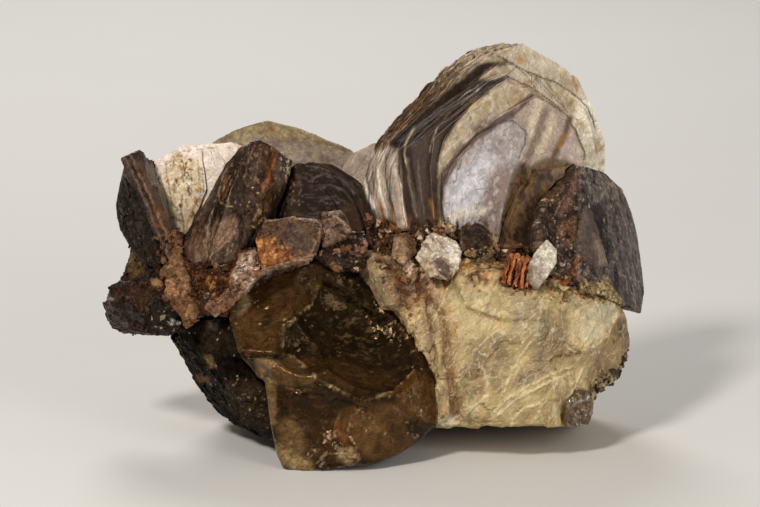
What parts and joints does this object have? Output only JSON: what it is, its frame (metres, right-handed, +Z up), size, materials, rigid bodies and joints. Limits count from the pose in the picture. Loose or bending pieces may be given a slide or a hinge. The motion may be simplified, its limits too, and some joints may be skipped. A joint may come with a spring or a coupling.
{
  "type": "lepidolite specimen",
  "caption": "Cabinet mineral specimen: stepped, rounded books of violet-grey mica standing on cream feldspar and smoky quartz, cut flat underneath so that it rests by itself.",
  "frame": {"origin": "centre of the bounding box at the surface that the specimen rests on", "axes": "+X to the right across the display face, +Y to the back, +Z up"},
  "size_m": [0.1084, 0.0638, 0.0769],
  "materials": {
    "violet_grey_mica": "pearly cleavage faces with satin sheet edges",
    "dark_mica": "glossy, finely striated",
    "brown_mica": "satin with sparkling flakes",
    "pale_mica": "pearly",
    "pink_mica": "fine-grained satin",
    "rust_stained_mica": "matte",
    "smoky_quartz": "glassy, broken in shell-like hollows",
    "clear_quartz": "glassy",
    "feldspar": "satin cleavage faces"
  },
  "bodies": {
    "root": {"silver_mica_book": "pale_mica", "dark_mica_knob": "dark_mica", "white_mica_flake": "pale_mica", "rust_mica_book": "rust_stained_mica", "lilac_mica_lump": "brown_mica", "right_mica_book": "dark_mica", "tall_mica_book": "violet_grey_mica", "fan_mica_book": "brown_mica", "edge_mica_book": "dark_mica", "tooth_mica_crystal": "brown_mica", "centre_mica_slab": "brown_mica", "dark_mica_crystal": "dark_mica", "round_mica_book": "dark_mica", "pale_mica_book": "pale_mica", "saddle_mica_book": "violet_grey_mica", "rear_mica_book": "violet_grey_mica", "smoky_quartz": "smoky_quartz", "pink_mica_crust": "pink_mica", "brown_mica_mass": "brown_mica", "left_mica_knob": "brown_mica", "dark_quartz_flank": "smoky_quartz", "clear_quartz_nub": "clear_quartz", "feldspar_matrix": "feldspar"}
  },
  "joints": []
}
